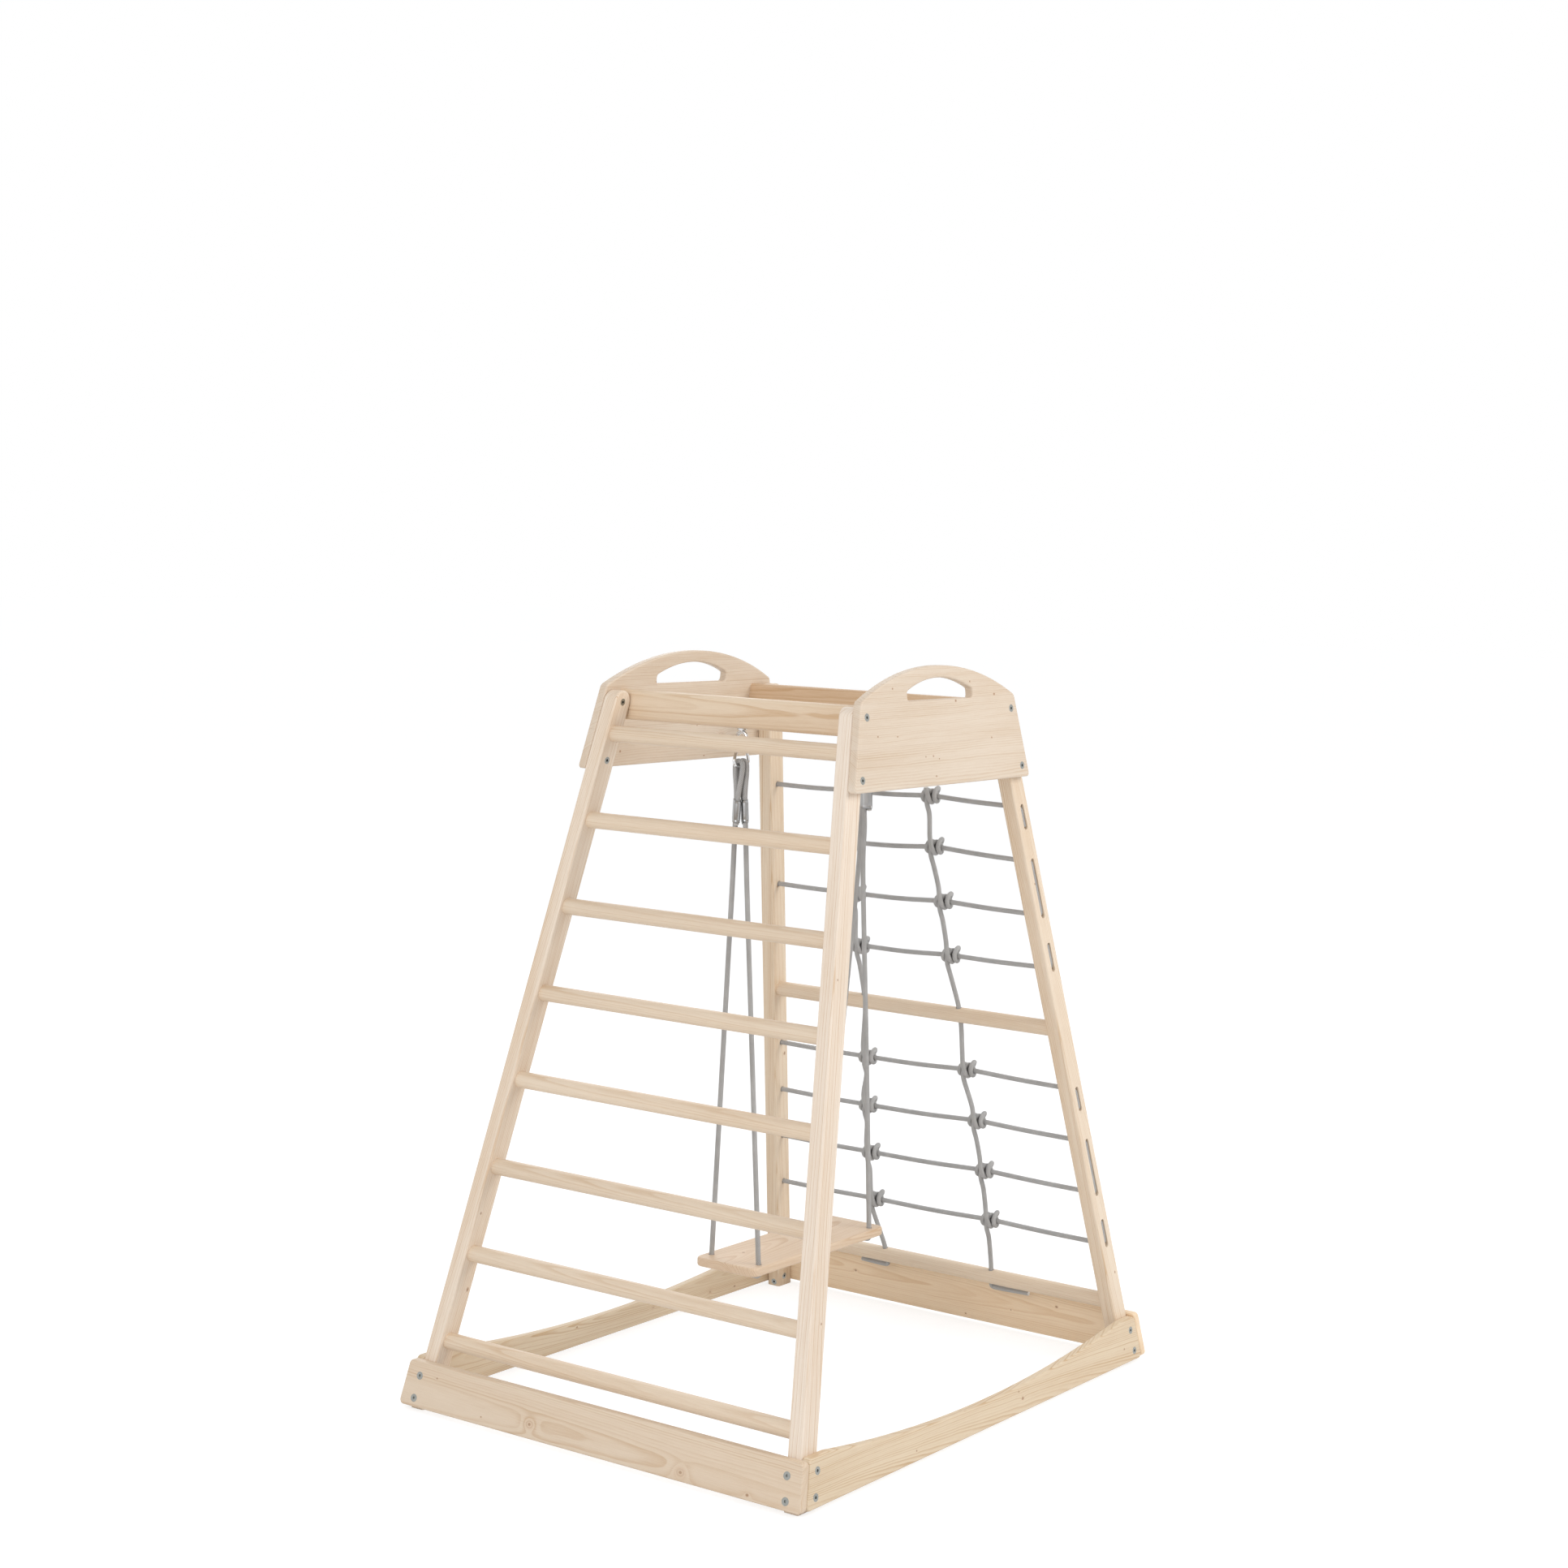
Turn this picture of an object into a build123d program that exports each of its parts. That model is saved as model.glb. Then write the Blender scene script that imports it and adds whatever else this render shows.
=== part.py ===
from build123d import *
from math import atan, cos, pi, sin
import os

os.makedirs("parts", exist_ok=True)

# Indoor climbing tower of pine. Ladder on the -X side, rope net on the +X side, open to -Y and +Y.
# Millimetres, +Z up, origin on the floor under the middle.

# Overall sizes, taken on the posts' outer faces at the floor
total_height = 1450.0
base_half_x = 606.0
base_half_y = 456.0
lean_x = 0.243
lean_y = 0.121

# Posts: planed bars with rounded edges and a round top end
post_width = 46.5
post_depth = 31.0
post_top = 1378.0
post_round = 4.0

# Boards, all sawn from the same planed stock
board = 18.0
board_round = 3.5
board_bottom = 8.0
ladder_board_top = 92.5
net_board_top = 102.0
curved_board_top = 96.0
curve_dip = 37.5
curve_start = 8.0
base_corner = 9.0
curve_blend = 70.0

# Head boards with their hand holes
head_bottom = 1225.0
head_corner = 1388.0
head_bottom_round = 7.0
head_corner_round = 14.0
hand_half = 114.0
hand_bottom = 1386.0
hand_side = 17.0
hand_height = 41.0
hand_round = 7.0

# Top rails that carry the swing
rail_thick = 28.0
rail_bottom = 1320.0
rail_top = 1378.0
rail_round = 7.0
rail_gap = 0.05

# Rungs, let into blind sockets
rung_r = 16.0
rung_count = 8
rung_first = 127.0
rung_step = 166.7
net_middle_rung = 707.0
net_bottom_rung = 128.0
socket_depth = 16.0
socket_spare = 1.0
socket_fit = 0.05

# Countersunk bolts and the sleeve nuts that take them
bolt_head_r = 7.5
bolt_head_h = 4.5
bolt_r = 3.0
bolt_fit = 0.1
bolt_end_gap = 6.0
socket_key_r = 2.9
socket_key_depth = 2.6
nut_head_r = 7.0
nut_head_h = 3.0
nut_r = 4.5
nut_length = 16.0
head_bolt_inset = 22.0
head_bolt_high = 1361.0
head_bolt_low = 1248.0
straight_bolt_inset = 16.0
straight_bolt_high = 67.0
straight_bolt_low = 25.0
curved_bolt_inset = 25.0
curved_bolt_high = 72.0
curved_bolt_low = 28.0

# Net: laced level ropes, and two upright ropes knotted to them
rope_r = 5.0
rope_hole_r = 6.0
groove_width = 12.0
groove_depth = 13.5
groove_rope_depth = 7.0
lace_bend = 8.0
groove_end = 6.0
net_pitch = 109.5
upper_net_top = 1163.0
lower_net_top = 583.0
lace_start_drop = 39.0
lace_end_rise = 47.5
upright_y = (102.0, 99.0, 108.0, 113.0, 125.0, 138.0, 144.0, 146.0)
upright_rung_y = 134.0
knot_gap = 0.8
knot_r = 16.5
knot_length = 35.0
knot_round = 4.5
knot_reach = 10.5
tail_z = 103.5
tail_out = 6.0
tail_front = 88.0
tail_rear = 72.0

# Swing: eye hooks in the rails, links, four roped eyes, sleeves and the seat
hook_r = 11.0
hook_wire_r = 3.5
hook_collar_r = 9.0
hook_collar_h = 3.0
hook_shank_r = 4.0
hook_shank = 24.0
link_wire_r = 3.0
link_gap = 0.3
link_height = 49.0
link_top_half = 9.0
link_bar_half = 26.0
link_top_round = 10.0
link_bar_round = 9.0
eye_spread = 6.5
eye_neck = 65.0
eye_leg = 5.2
rope_link_gap = 0.3
sleeve_length = 44.0
sleeve_wall = 1.5
sleeve_fit = 0.2
tail_past_sleeve = 3.0
seat_length = 452.0
seat_width = 146.0
seat_thick = 18.0
seat_top = 288.0
seat_corner = 18.0
seat_round = 5.0
seat_hole_r = 6.0
seat_hole_in_x = 36.0
seat_hole_in_y = 16.0
seat_hole_chamfer = 2.0
eye_bend = 60.0
seat_bend = 8.0
rope_seat_gap = 0.3

angle_x = atan(lean_x)
angle_y = atan(lean_y)
post_x = post_width / cos(angle_x)
post_y = post_depth / cos(angle_y)
board_x = board / cos(angle_x)
board_y = board / cos(angle_y)
beyond = 60.0
reach = base_half_x + beyond
sides = ((-1, "ladder"), (1, "net"))
ends = ((-1, "front"), (1, "rear"))
parts = {}


def face_x(z):
    """Distance from the middle to the posts' outer X faces at height z."""
    return base_half_x - lean_x * z


def face_y(z):
    """Distance from the middle to the posts' outer Y faces at height z."""
    return base_half_y - lean_y * z


def rung_x(z):
    """Distance from the middle to the middle of the posts' width, where rungs and net lie."""
    return face_x(z) - post_x / 2


def slab_x(inner, outer):
    """Leaned slab on the +X side, between two planes that are parallel to the posts' outer X faces."""
    low, high = -beyond, total_height + beyond
    corners = [(face_x(low) + inner, low), (face_x(low) + outer, low)]
    corners += [(face_x(high) + outer, high), (face_x(high) + inner, high)]
    return extrude(Plane.XZ * make_face(Polyline(*corners, close=True)), reach, both=True)


def slab_y(inner, outer):
    """Leaned slab on the +Y side, between two planes that are parallel to the posts' outer Y faces."""
    low, high = -beyond, total_height + beyond
    corners = [(face_y(low) + inner, low), (face_y(low) + outer, low)]
    corners += [(face_y(high) + outer, high), (face_y(high) + inner, high)]
    return extrude(Plane.YZ * make_face(Polyline(*corners, close=True)), reach, both=True)


def rounded_board(prism, slab):
    """Board cut from a leaned slab by its outline, with both faces' edges rounded over."""
    body = (prism & slab).solid()
    broad = body.faces().sort_by(SortBy.AREA)[-2:]
    return fillet(broad[0].edges() + broad[1].edges(), board_round)


def place(shape, side, end):
    """Copy a shape made for the +X and +Y corner to another corner."""
    if side < 0:
        shape = mirror(shape, about=Plane.YZ)
    if end < 0:
        shape = mirror(shape, about=Plane.XZ)
    return shape


# Bolts run square to the board that they hold, through the post, into a sleeve nut on its far face.
def bolt_plane_y(z, inset):
    """Plane on a Y board's outer face at the +X and +Y corner, looking into the wood."""
    start = (face_x(z) - inset, face_y(z) + board_y, z)
    return Plane(origin=start, x_dir=(1, 0, 0), z_dir=(0, -cos(angle_y), -sin(angle_y)))


def bolt_plane_x(z, inset):
    """Plane on an X board's outer face at the +X and +Y corner, looking into the wood."""
    start = (face_x(z) + board_x, face_y(z) - inset, z)
    return Plane(origin=start, x_dir=(0, 1, 0), z_dir=(-cos(angle_x), 0, -sin(angle_x)))


def turned(*profile):
    """Solid of revolution about Z from (radius, height) corners."""
    return revolve(Plane.XZ * make_face(Polyline(*profile, close=True)), Axis.Z)


def bolt(length):
    body = turned((0, 0), (bolt_head_r, 0), (bolt_r, bolt_head_h), (bolt_r, length), (0, length))
    return body - extrude(RegularPolygon(socket_key_r, 6), socket_key_depth)


def sleeve_nut(length):
    """Nut whose flat head is flush with the far face, at depth `length` under the bolt's head."""
    start = length - nut_length
    body = turned(
        (0, start), (nut_r, start), (nut_r, length - nut_head_h), (nut_head_r, length), (0, length)
    )
    key = Pos(0, 0, length) * extrude(RegularPolygon(socket_key_r, 6), -socket_key_depth)
    bore = Cylinder(bolt_r + bolt_fit, nut_length, align=(Align.CENTER, Align.CENTER, Align.MIN))
    return body - key - Pos(0, 0, start - socket_key_depth) * bore


def bolt_hole(length):
    """Countersunk hole for a bolt and its nut."""
    r = bolt_r + bolt_fit
    n = nut_r + bolt_fit
    head = bolt_head_r + bolt_fit
    nut_head = nut_head_r + bolt_fit
    start = length - nut_length - bolt_end_gap
    return turned(
        (0, -1), (head + 1, -1), (head, 0), (r, bolt_head_h), (r, start), (n, start),
        (n, length - nut_head_h), (nut_head, length), (nut_head + 1, length + 1), (0, length + 1),
    )


depth_y = board + post_depth
depth_x = board + post_width
head_planes = [bolt_plane_y(z, head_bolt_inset) for z in (head_bolt_high, head_bolt_low)]
curved_planes = [bolt_plane_y(z, curved_bolt_inset) for z in (curved_bolt_high, curved_bolt_low)]
straight_planes = [bolt_plane_x(z, straight_bolt_inset) for z in (straight_bolt_high, straight_bolt_low)]
head_holes = [plane * bolt_hole(depth_y) for plane in head_planes]
curved_holes = [plane * bolt_hole(depth_y) for plane in curved_planes]
straight_holes = [plane * bolt_hole(depth_x) for plane in straight_planes]
bolts = []
nuts = []
for planes, depth in ((head_planes + curved_planes, depth_y), (straight_planes, depth_x)):
    for plane in planes:
        for side, _ in sides:
            for end, _ in ends:
                bolts.append(place(plane * bolt(depth - bolt_end_gap), side, end))
                nuts.append(place(plane * sleeve_nut(depth), side, end))
parts["bolts"] = Compound([solid for item in bolts for solid in item.solids()])
parts["sleeve_nuts"] = Compound([solid for item in nuts for solid in item.solids()])


# Net levels and the laced ropes' grooves, all at the middle of the net posts' width.
upper_levels = [upper_net_top - i * net_pitch for i in range(4)]
lower_levels = [lower_net_top - i * net_pitch for i in range(4)]
upper_ends = (upper_levels[0] - lace_start_drop, upper_levels[-1] + lace_end_rise)
lower_ends = (lower_levels[0] - lace_start_drop, lower_levels[-1] + lace_end_rise)


def net_point(end, z):
    """Point of a level rope's line in the groove of the front or rear net post."""
    return Vector(rung_x(z), end * (face_y(z) - groove_rope_depth), z)


def groove(high, low):
    """Round-ended groove in the +Y net post's outer face, from one rope hole down to another."""
    top = Vector(rung_x(high), high)
    bottom = Vector(rung_x(low), low)
    run = bottom - top
    middle = Plane.XZ * Pos((top.X + bottom.X) / 2, (top.Y + bottom.Y) / 2)
    slot = Rot(Z=-90 + run.get_angle(Vector(0, -1))) * SlotCenterToCenter(run.length, groove_width)
    return extrude(middle * slot, reach, both=True) & slab_y(-groove_depth, beyond / 2)


def rope_holes(levels):
    """Level holes for the laced rope, through the +Y net post."""
    holes = []
    for z in levels:
        middle = Pos(rung_x(z), face_y(z) - post_y / 2, z)
        holes.append(middle * Rot(X=90) * Cylinder(rope_hole_r, 2 * post_y))
    return holes


def post_blank():
    """Leaned bar at the +X and +Y corner, cut level at the floor, its top a half circle."""
    r = post_width / 2
    centre_z = post_top - r
    centre = Vector(rung_x(centre_z), centre_z)
    out = Vector(cos(angle_x), sin(angle_x)) * r
    up = Vector(-sin(angle_x), cos(angle_x)) * r
    outline = make_face([
        Line((face_x(0) - post_x, 0), (face_x(0), 0)),
        Line((face_x(0), 0), centre + out),
        ThreePointArc(centre + out, centre + up, centre - out),
        Line(centre - out, (face_x(0) - post_x, 0)),
    ])
    bar = (extrude(Plane.XZ * outline, reach, both=True) & slab_y(-post_y, 0)).solid()
    broad = bar.faces().sort_by(Axis.Y)
    long_edges = [edge for edge in broad[0].edges() + broad[-1].edges() if edge.center().Z > 1]
    return fillet(long_edges, post_round)


def socket(z):
    """Blind rung socket, from the post's inner Y face outward."""
    inner = face_y(z) - post_y
    depth = socket_depth + socket_spare
    hole = Cylinder(rung_r + socket_fit, depth + beyond, align=(Align.CENTER, Align.CENTER, Align.MIN))
    return Pos(rung_x(z), inner + depth, z) * Rot(X=90) * hole


ladder_heights = [rung_first + i * rung_step for i in range(rung_count)]
net_heights = [net_bottom_rung, net_middle_rung]
blank = post_blank()
for hole in head_holes + curved_holes + straight_holes:
    blank -= hole
ladder_post = blank
for z in ladder_heights:
    ladder_post -= socket(z)
net_post = blank
for z in net_heights:
    net_post -= socket(z)
for hole in rope_holes(upper_levels) + rope_holes(lower_levels):
    net_post -= hole

# The rope shows in three grooves a group on the front post and in two on the rear one.
grooves = {-1: [], 1: []}
for levels, stops in ((upper_levels, upper_ends), (lower_levels, lower_ends)):
    first, second, third, fourth = levels
    grooves[-1] += [groove(first, stops[0] - groove_end + groove_width / 2)]
    grooves[-1] += [groove(second, third)]
    grooves[-1] += [groove(stops[1] + groove_end - groove_width / 2, fourth)]
    grooves[1] += [groove(first, second), groove(third, fourth)]

for end, end_name in ends:
    parts["post_ladder_" + end_name] = place(ladder_post, -1, end)
    post = net_post
    for cut in grooves[end]:
        post -= cut
    parts["post_net_" + end_name] = place(post, 1, end)


# Ladder rungs and the two net rungs, each a turned bar between two blind sockets.
def rung(z):
    length = 2 * (face_y(z) - post_y + socket_depth)
    return Pos(rung_x(z), 0, z) * Rot(X=90) * Cylinder(rung_r, length)


for i, z in enumerate(ladder_heights):
    parts["ladder_rung_" + str(i + 1)] = mirror(rung(z), about=Plane.YZ)


# Head boards: arched top, sides flush with the posts, hand hole with a flat lower edge.
def head_outline():
    low = face_x(head_bottom)
    high = face_x(head_corner)
    outline = make_face([
        Line((-low, head_bottom), (low, head_bottom)),
        Line((low, head_bottom), (high, head_corner)),
        ThreePointArc((high, head_corner), (0, total_height), (-high, head_corner)),
        Line((-high, head_corner), (-low, head_bottom)),
    ])
    outline = fillet(outline.vertices().sort_by(Axis.Y)[:2], head_bottom_round)
    outline = fillet(outline.vertices().sort_by(Axis.Y)[-2:], head_corner_round)
    shoulder = hand_bottom + hand_side
    hole = make_face([
        Line((-hand_half, hand_bottom), (hand_half, hand_bottom)),
        Line((hand_half, hand_bottom), (hand_half, shoulder)),
        ThreePointArc((hand_half, shoulder), (0, hand_bottom + hand_height), (-hand_half, shoulder)),
        Line((-hand_half, shoulder), (-hand_half, hand_bottom)),
    ])
    return outline - fillet(hole.vertices(), hand_round)


head = rounded_board(extrude(Plane.XZ * head_outline(), reach, both=True), slab_y(0, board_y))
for hole in head_holes:
    head = head - hole - mirror(hole, about=Plane.YZ)


# Curved base boards: a long shallow hollow in the top edge, ends cut to the posts' lean.
def curved_outline():
    low = face_x(board_bottom)
    high = face_x(curved_board_top)
    start = high - post_x - curve_start
    outline = make_face([
        Line((-low, board_bottom), (low, board_bottom)),
        Line((low, board_bottom), (high, curved_board_top)),
        Line((high, curved_board_top), (start, curved_board_top)),
        ThreePointArc(
            (start, curved_board_top), (0, curved_board_top - curve_dip), (-start, curved_board_top)
        ),
        Line((-start, curved_board_top), (-high, curved_board_top)),
        Line((-high, curved_board_top), (-low, board_bottom)),
    ])
    crests = [v for v in outline.vertices() if abs(abs(v.X) - start) < 1]
    outline = fillet(crests, curve_blend)
    return fillet([v for v in outline.vertices() if abs(v.X) > high - 1], base_corner)


curved = rounded_board(extrude(Plane.XZ * curved_outline(), reach, both=True), slab_y(0, board_y))
for hole in curved_holes:
    curved = curved - hole - mirror(hole, about=Plane.YZ)
for end, end_name in ends:
    parts["head_board_" + end_name] = place(head, 1, end)
    parts["curved_board_" + end_name] = place(curved, 1, end)


# Straight base boards over the posts' X faces, long enough to cover the curved boards' ends.
def straight_board(top):
    low = face_y(board_bottom) + board_y
    high = face_y(top) + board_y
    corners = [(-low, board_bottom), (low, board_bottom), (high, top), (-high, top)]
    outline = make_face(Polyline(*corners, close=True))
    outline = fillet(outline.vertices(), base_corner)
    body = rounded_board(extrude(Plane.YZ * outline, reach, both=True), slab_x(0, board_x))
    for hole in straight_holes:
        body = body - hole - mirror(hole, about=Plane.XZ)
    return body


parts["base_board_net"] = straight_board(net_board_top)
parts["base_board_ladder"] = place(straight_board(ladder_board_top), -1, 1)

# Top rails between the head boards, against the inner side of the posts' round tops.
round_top = post_top - post_width / 2
rail_outer = rung_x(round_top) - post_width / 2 - rail_gap
hook_x = rail_outer - rail_thick / 2
hook_z = rail_bottom - hook_collar_h - hook_r - hook_wire_r
shank_hole = Pos(hook_x, 0, rail_bottom) * Cylinder(
    hook_shank_r + bolt_fit, 2 * (hook_shank + socket_spare)
)
section = Pos(hook_x, (rail_bottom + rail_top) / 2) * RectangleRounded(
    rail_thick, rail_top - rail_bottom, rail_round
)
rail = extrude(Plane.XZ * section, reach, both=True) - slab_y(0, reach)
rail = rail - mirror(slab_y(0, reach), about=Plane.XZ) - shank_hole

# Eye hooks: a screw shank, a collar under the rail and a ring that faces along X.
eye = Pos(hook_x, 0, hook_z) * Rot(Y=90) * Torus(hook_r, hook_wire_r)
collar_base = rail_bottom - hook_collar_h
stem_base = hook_z + hook_r
eye += Pos(hook_x, 0, stem_base) * Cylinder(
    hook_shank_r, rail_bottom + hook_shank - stem_base, align=(Align.CENTER, Align.CENTER, Align.MIN)
)
eye += Pos(hook_x, 0, collar_base) * Cylinder(
    hook_collar_r, hook_collar_h, align=(Align.CENTER, Align.CENTER, Align.MIN)
)

# Links: round wire bent to a triangle, narrow where it hangs in the eye, wide where the ropes lie.
link_top_z = hook_z - hook_r + hook_wire_r + link_wire_r + link_gap
bar_z = link_top_z - link_height
corners = [(link_top_half, link_top_z), (-link_top_half, link_top_z)]
corners += [(-link_bar_half, bar_z), (link_bar_half, bar_z)]
link_face = make_face(Polyline(*corners, close=True))
link_face = fillet(link_face.vertices().sort_by(Axis.Y)[-2:], link_top_round)
link_face = fillet(link_face.vertices().sort_by(Axis.Y)[:2], link_bar_round)
link_path = (Plane.XZ * Pos(hook_x, 0) * link_face).wire()
link = sweep(Plane(origin=link_path @ 0, z_dir=link_path % 0) * Circle(link_wire_r), path=link_path)

for side, side_name in sides:
    parts["top_rail_" + side_name] = place(rail, side, 1)
    parts["eye_hook_" + side_name] = place(eye, side, 1)
    parts["swing_link_" + side_name] = place(link, side, 1)


def tube(points, radii, r):
    """Round rope along straight runs joined by tangent arcs, with its volume checked by its length."""
    path = FilletPolyline(*points, radius=radii)
    body = sweep(Plane(origin=path @ 0, z_dir=path % 0) * Circle(r), path=path)
    share = body.volume / (pi * r * r * path.length)
    print("rope", round(path.length), "mm, volume share", round(share, 3), "radii", radii)
    return body


# Net lacing: one rope a group, in at a short groove, to and fro through both posts, out at another.
for name, levels, stops in (("upper", upper_levels, upper_ends), ("lower", lower_levels, lower_ends)):
    route = [net_point(-1, stops[0])]
    end = -1
    for z in levels:
        route += [net_point(end, z), net_point(-end, z)]
        end = -end
    route += [net_point(-1, stops[1])]
    parts["net_lacing_" + name] = tube(route, [lace_bend] * (len(route) - 2), rope_r)

# Upright net ropes: straight between the knots, through both net rungs, the tail bent under the lower.
# Each knot is a plain rounded collar about the level rope.
knot_bore = rope_r + knot_gap
knot_section = RectangleRounded(knot_r - knot_bore, knot_length, knot_round)
collar = revolve(Pos((knot_r + knot_bore) / 2, 0) * knot_section, Axis.Y)
all_levels = upper_levels + lower_levels


def upright_point(end, z, y):
    return Vector(rung_x(z), end * y, z)


def between(a, b, start, stop):
    """Point of the straight line from a to b, short of b by `stop` and past a by `start`."""
    line = (b - a).normalized()
    return a + line * start, b - line * stop


rung_bores = []
for end, tail in ((-1, tail_front), (1, tail_rear)):
    knots = [upright_point(end, z, y) for z, y in zip(all_levels, upright_y)]
    foot = upright_point(end, net_bottom_rung, upright_rung_y)
    body = None
    for a, b in zip(knots[:-1], knots[1:]):
        start, stop = between(a, b, knot_reach, knot_reach)
        run = Line(start, stop)
        piece = sweep(Plane(origin=start, z_dir=run % 0) * Circle(rope_r), path=run)
        body = piece if body is None else body + piece
    start, _ = between(knots[-1], foot, knot_reach, 0)
    down = (foot - knots[-1]).normalized()
    turn = foot + down * ((foot.Z - tail_z) / -down.Z)
    tip = turn + Vector(tail_out, end * tail, 0)
    body += tube([start, turn, tip], [lace_bend], rope_r)
    for knot in knots:
        body += Pos(knot) * collar
    parts["net_rope_" + ("front" if end < 0 else "rear")] = body
    middle = upright_point(end, upper_levels[-1], upright_y[3]), knots[4]
    for a, b in (middle, (knots[-1], turn)):
        run = Line(*between(a, b, knot_reach, 0))
        rung_bores.append(sweep(Plane(origin=run @ 0, z_dir=run % 0) * Circle(rope_hole_r), path=run))

middle_rung = rung(net_middle_rung)
bottom_rung = rung(net_bottom_rung)
for bore in rung_bores:
    middle_rung -= bore
    bottom_rung -= bore
parts["net_rung_middle"] = middle_rung
parts["net_rung_bottom"] = bottom_rung

# Swing seat: a rounded board with a rope hole near each corner.
hole_x = seat_length / 2 - seat_hole_in_x
hole_y = seat_width / 2 - seat_hole_in_y
seat_z = seat_top - seat_thick
seat = extrude(RectangleRounded(seat_length, seat_width, seat_corner), seat_thick)
seat = fillet(seat.faces().filter_by(Axis.Z).edges(), seat_round)
for side, _ in sides:
    for end, _ in ends:
        seat -= Pos(side * hole_x, end * hole_y, 0) * Cylinder(seat_hole_r, 4 * seat_thick)
rims = [e for e in seat.edges().filter_by(GeomType.CIRCLE) if abs(e.radius - seat_hole_r) < 0.01]
seat = chamfer([e for e in rims if e.center().Z < seat_thick / 2], seat_hole_chamfer)
parts["swing_seat"] = Pos(0, 0, seat_z) * seat

# Swing ropes: one a side. Each end has an eye round the link's bar, closed by a sleeve over both legs,
# and the middle passes down through one seat hole, under the seat and up through the other.
bend = link_wire_r + rope_r + rope_link_gap
sleeves = []
for side, side_name in sides:
    halves = []
    for end, _ in ends:
        bar = Vector(side * (hook_x + end * eye_spread), 0, bar_z)
        hole = Vector(side * hole_x, end * hole_y, seat_z + seat_thick / 2)
        down = (hole - bar).normalized()
        over = (Vector(0, end, 0) - down * down.Y * end).normalized()

        def at(sideways, along):
            return bar + over * sideways + down * along

        under = hole + down * ((seat_thick / 2 + rope_r + rope_seat_gap) / -down.Z)
        crown = bend * (1 + (bend - eye_leg) / eye_neck)
        half = [at(-eye_leg, eye_neck + sleeve_length + tail_past_sleeve), at(-eye_leg, eye_neck)]
        half += [at(-crown, -bend), at(crown, -bend), at(eye_leg, eye_neck), under]
        halves.append(half)
        mouth = Plane(origin=at(0, eye_neck + 1), x_dir=over, z_dir=down)
        outer = SlotCenterToCenter(2 * eye_leg, 2 * (rope_r + sleeve_fit + sleeve_wall))
        inner = SlotCenterToCenter(2 * eye_leg, 2 * (rope_r + sleeve_fit))
        sleeves.append(mouth * extrude(outer - inner, sleeve_length))
    tight = bend * 0.985
    radii = [eye_bend, tight, tight, eye_bend, seat_bend]
    route = halves[0] + halves[1][::-1]
    parts["swing_rope_" + side_name] = tube(route, radii + radii[::-1], rope_r)
parts["swing_sleeves"] = Compound([solid for item in sleeves for solid in item.solids()])

for name, shape in parts.items():
    export_step(shape, "parts/" + name + ".step")
print("hook x", round(hook_x, 2), "pivot z", round(link_top_z, 2), "bar z", round(bar_z, 2))
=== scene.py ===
import math

import bpy
import numpy as np
from mathutils import Matrix


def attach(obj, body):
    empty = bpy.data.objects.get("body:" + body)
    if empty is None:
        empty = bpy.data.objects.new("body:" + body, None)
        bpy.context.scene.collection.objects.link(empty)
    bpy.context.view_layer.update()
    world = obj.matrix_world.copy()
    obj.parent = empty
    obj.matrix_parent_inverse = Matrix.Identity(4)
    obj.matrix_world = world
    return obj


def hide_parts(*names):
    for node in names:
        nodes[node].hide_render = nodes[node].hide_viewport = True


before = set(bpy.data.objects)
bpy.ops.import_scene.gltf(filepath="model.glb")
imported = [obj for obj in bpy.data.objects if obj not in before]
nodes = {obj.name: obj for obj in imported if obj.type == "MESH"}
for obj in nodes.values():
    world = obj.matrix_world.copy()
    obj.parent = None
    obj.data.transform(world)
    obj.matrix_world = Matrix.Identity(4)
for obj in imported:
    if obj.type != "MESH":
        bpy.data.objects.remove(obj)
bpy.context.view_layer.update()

scene = bpy.context.scene
scene.view_settings.view_transform = "Standard"

# The photographer's stand: ladder side, a little above the tower's top rails, with a long lens.
# The camera is turned very slightly about its own axis, as the picture is.
stand = np.array([-4.415063, -3.104655, 1.688814])
heading, dip, roll = np.radians([54.429, 5.171, 1.699])
ahead = np.array([math.sin(heading) * math.cos(dip), math.cos(heading) * math.cos(dip), -math.sin(dip)])
right = np.cross(ahead, [0, 0, 1])
right /= np.linalg.norm(right)
below = np.cross(ahead, right)
across_picture = math.cos(roll) * right - math.sin(roll) * below
down_picture = math.sin(roll) * right + math.cos(roll) * below
lens = bpy.data.cameras.new("camera")
lens.sensor_width = 36
lens.lens = 3403.777 / 1932 * 36
lens.clip_end = 200
camera = bpy.data.objects.new("camera", lens)
turn = np.eye(4)
turn[:3, 0], turn[:3, 1], turn[:3, 2], turn[:3, 3] = across_picture, -down_picture, -ahead, stand
camera.matrix_world = Matrix(turn.tolist())
scene.collection.objects.link(camera)
scene.camera = camera


# Net lacing: two lengths of grey braided polyester rope, 10 mm thick. Each starts in a short groove of
# the front net post, runs to and fro through both posts as four level ropes and ends in a groove again.
# The ropes bow up a little where an upright rope is knotted round them.
ROPE = 5.0
SIDE_FOOT, SIDE_LEAN = 582.07, 0.243
END_FOOT, END_LEAN = 456.0, 0.121
POST_DEPTH, GROOVE_DEPTH = 31.2, 5.8
PLAIT_PITCH = 0.0033
NET_PITCH = 109.5
UPPER = [1163.0 - NET_PITCH * i for i in range(4)]
LOWER = [583.0 - NET_PITCH * i for i in range(4)]
START_DROP, END_RISE, GROOVE_BEND = 39.0, 47.5, 13
KNOT_Y = [102.0, 99.0, 108.0, 113.0, 125.0, 138.0, 144.0, 146.0]
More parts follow.
